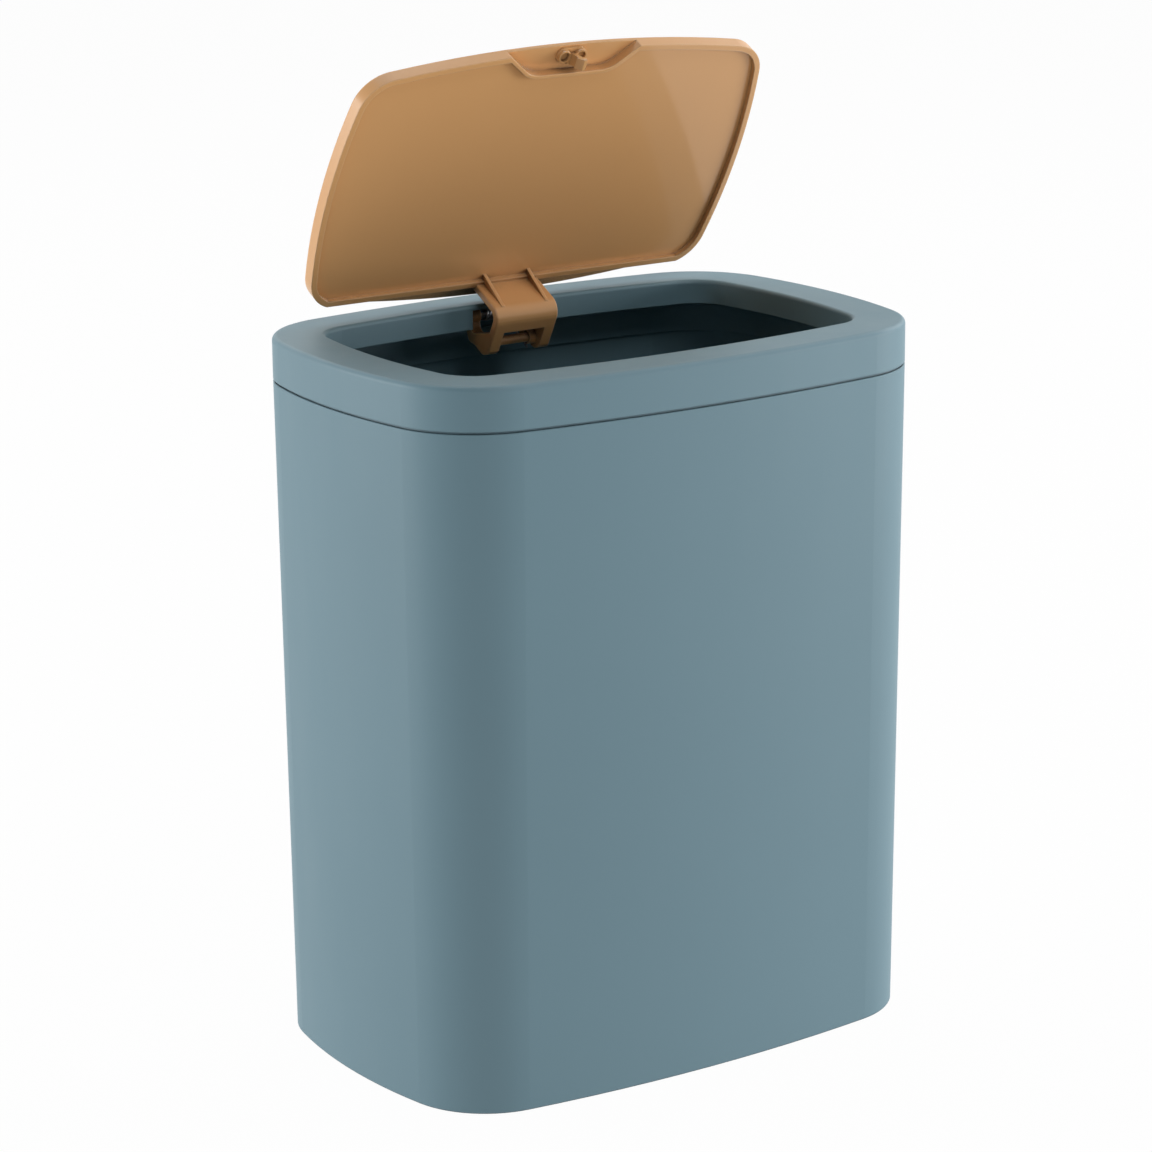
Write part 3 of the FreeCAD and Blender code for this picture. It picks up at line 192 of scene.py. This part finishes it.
def moulded(name, tone, rough, grain, grain_depth, wave_depth=0.0, edge=SOFT_EDGE,
            polish=None, painted_shade=None, painted_edge_highlight=None):
    """Moulded plastic: spark-eroded grain, faint flow clouds and uneven gloss.

    polish is the way that a mirror-polished face looks, and that face's roughness. The next
    argument is how near walls must be for painted shade to darken the place between them, and
    the shares of open sky at which it starts and is full. The last is the paler colour painted
    on the outer edges as a highlight, and its share.
    """
    n = Nodes(name)
    place = n.place()
    clouds = n.noise(place, CLOUD_CELLS, detail=3)
    flow = n.noise(n.place(FLOW_STRETCH), FLOW_CELLS, detail=2)
    low = shade(tone, 1 - TINT_SPREAD_SHARE)
    high = shade(tone, 1 + TINT_SPREAD_SHARE)
    tint = n.blend(clouds, low, high)
    # Painted shade: the colour darkened towards a dark tone where walls are near, in seams,
    # corners and recesses
    if painted_shade:
        tint = n.blend(n.hollow(*painted_shade), tint, shade(tone, PAINTED_SHADE_SHARE))
    # Painted highlight: the outer edges made paler, standing in for light caught on rounded
    # edges
    if painted_edge_highlight:
        highlight_tone, highlight_share = painted_edge_highlight
        edges = n.hollow(HIGHLIGHT_EDGE_REACH, HIGHLIGHT_EDGE_START_SHARE, HIGHLIGHT_EDGE_FULL_SHARE, inside=True)
        tint = n.blend(n.remap(edges, 0, highlight_share), tint, highlight_tone)
    n.join(tint, n.shader.inputs["Base Color"])
    gloss = n.swing(flow, rough, GLOSS_SWING_SHARE)
    if polish:
        way, smooth = polish
        mix = n.add("ShaderNodeMix")
        n.join(n.facing(way, POLISH_START_SHARE, POLISH_FULL_SHARE), mix.inputs["Factor"])
        n.join(gloss, mix.inputs["A"])
        n.join(n.swing(flow, smooth, GLOSS_SWING_SHARE), mix.inputs["B"])
        gloss = mix.outputs["Result"]
    n.join(gloss, n.shader.inputs["Roughness"])
    fine = n.noise(place, grain, detail=2)
    normal = n.bump(fine, GRAIN_STRENGTH, grain_depth, n.soft_edges(edge))
    if wave_depth:
        normal = n.bump(n.noise(place, WAVE_CELLS, detail=1), WAVE_STRENGTH, wave_depth, normal)
    n.join(normal, n.shader.inputs["Normal"])
    n.shader.inputs["IOR"].default_value = PLASTIC_IOR
    return n.material


def steel(name, tone, rough, stretch):
    """Drawn or plated steel: fine lines along the draw and a slightly clouded gloss."""
    n = Nodes(name)
    lines = n.noise(n.place(stretch), STEEL_LINE_CELLS, detail=3)
    clouds = n.noise(n.place(), STEEL_CLOUD_CELLS, detail=2)
    n.join(n.blend(clouds, shade(tone, STEEL_DULL_SHARE), tone), n.shader.inputs["Base Color"])
    n.join(n.swing(lines, rough, STEEL_SWING_SHARE), n.shader.inputs["Roughness"])
    n.join(n.bump(lines, STEEL_LINE_STRENGTH, STEEL_LINE_DEPTH), n.shader.inputs["Normal"])
    n.shader.inputs["Metallic"].default_value = 1
    return n.material


BLUE_GREY = colour(107, 138, 150)
EDGE_HIGHLIGHT_CAMEL = colour(250, 214, 168)
# The way that the open lid's underside looks
LID_UNDER = (0, -0.882, -0.471)
# Painted shade in the groove between tub and collar: how near walls must be, and the shares of
# open sky at which it starts and is full
GROOVE_PAINTED_SHADE = (0.0025, 0.55, 0.2)

FINISH = {
    "tub_plastic": moulded(
        "tub_plastic", BLUE_GREY, rough=0.52, grain=2600, grain_depth=0.00005, painted_shade=GROOVE_PAINTED_SHADE),
    "collar_plastic": moulded(
        "collar_plastic", BLUE_GREY, rough=0.50, grain=2600, grain_depth=0.00005, painted_shade=GROOVE_PAINTED_SHADE),
    # Lid: painted shade deep in its recesses and round the hinge, and painted highlights on its
    # outer edges
    "lid_plastic": moulded(
        "lid_plastic", colour(228, 173, 116), rough=0.32, grain=700, grain_depth=0.00001,
        wave_depth=0.00003, edge=0.0007, polish=(LID_UNDER, 0.1), painted_shade=(0.025, 0.52, 0.32),
        painted_edge_highlight=(EDGE_HIGHLIGHT_CAMEL, 0.4)),
    # Striker: painted shade in its cups and corners
    "striker_plastic": moulded(
        "striker_plastic", colour(222, 170, 112), rough=0.12, grain=900, grain_depth=0.00001,
        painted_shade=(0.005, 0.55, 0.2)),
    "latch_plastic": moulded(
        "latch_plastic", colour(44, 47, 50), rough=0.45, grain=1800, grain_depth=0.00004),
    "jaw_plastic": moulded(
        "jaw_plastic", colour(205, 205, 200), rough=0.3, grain=1500, grain_depth=0.00002),
    "bright_steel": steel("bright_steel", colour(190, 190, 194), 0.26, (0.05, 1, 1)),
    "spring_steel": steel("spring_steel", colour(160, 161, 166), 0.32, (1, 1, 1)),
}
for part in frame["record"]["subparts"]:
    mesh = frame["nodes"][part["node"]].data
    mesh.materials.clear()
    mesh.materials.append(FINISH[part["material_slot"]])


# Floor, light and camera

def light_table():
    """White paper lit from below: plain white to a camera or a mirror, dimmer as a light."""
    n = Nodes("light_table")
    n.shader.inputs["Base Color"].default_value = (PAPER_GREY, PAPER_GREY, PAPER_GREY, 1)
    n.shader.inputs["Roughness"].default_value = PAPER_ROUGH
    glow = n.add("ShaderNodeEmission", Strength=1.0)
    mix = n.add("ShaderNodeMixShader")
    path = n.add("ShaderNodeLightPath")
    either = n.add("ShaderNodeMath", operation="MAXIMUM")
    n.join(path.outputs["Is Camera Ray"], either.inputs[0])
    n.join(path.outputs["Is Glossy Ray"], either.inputs[1])
    n.join(n.remap(either.outputs[0], PAPER_GLOW_SHARE, PAPER_SEEN_SHARE), mix.inputs["Fac"])
    n.join(n.shader.outputs["BSDF"], mix.inputs[1])
    n.join(glow.outputs["Emission"], mix.inputs[2])
    n.join(mix.outputs["Shader"], n.tree.nodes["Material Output"].inputs["Surface"])
    return n.material


def make_floor():
    mesh = bpy.data.meshes.new("floor")
    far = PAPER_REACH
    corners = [(-far, -far, 0), (far, -far, 0), (far, far, 0), (-far, far, 0)]
    mesh.from_pydata(corners, [], [(0, 1, 2, 3)])
    floor = bpy.data.objects.new("floor", mesh)
    scene.collection.objects.link(floor)
    mesh.materials.append(light_table())


def soft_box(name, spot, wide, high, power):
    lamp = bpy.data.lights.new(name, "AREA")
    lamp.shape = "RECTANGLE"
    lamp.size = wide
    lamp.size_y = high
    lamp.energy = power
    holder = bpy.data.objects.new(name, lamp)
    scene.collection.objects.link(holder)
    way = Vector(LAMP_AIM) - Vector(spot)
    holder.location = spot
    holder.rotation_euler = way.to_track_quat("-Z", "Y").to_euler()


def light_world():
    """White to a camera or a mirror, and no light at all otherwise."""
    world = bpy.data.worlds.new("studio")
    scene.world = world
    world.use_nodes = True
    tree = world.node_tree
    back = tree.nodes["Background"]
    back.inputs["Color"].default_value = (1, 1, 1, 1)
    path = tree.nodes.new("ShaderNodeLightPath")
    either = tree.nodes.new("ShaderNodeMath")
    either.operation = "MAXIMUM"
    tree.links.new(path.outputs["Is Camera Ray"], either.inputs[0])
    tree.links.new(path.outputs["Is Glossy Ray"], either.inputs[1])
    tree.links.new(either.outputs[0], back.inputs["Strength"])


def place_camera():
    """The photograph's view: long lens, from the front left and a little above."""
    data = bpy.data.cameras.new("camera")
    data.sensor_width = SENSOR_MM
    data.lens = LENS_MM
    data.clip_end = FAR_CLIP
    camera = bpy.data.objects.new("camera", data)
    scene.collection.objects.link(camera)
    turn = Matrix((CAMERA_RIGHT, CAMERA_UP, CAMERA_RIGHT.cross(CAMERA_UP))).transposed()
    camera.matrix_world = Matrix.Translation(CAMERA_SPOT) @ turn.to_4x4()
    scene.camera = camera


make_floor()
light_world()
for box in LAMPS:
    soft_box(*box)
place_camera()
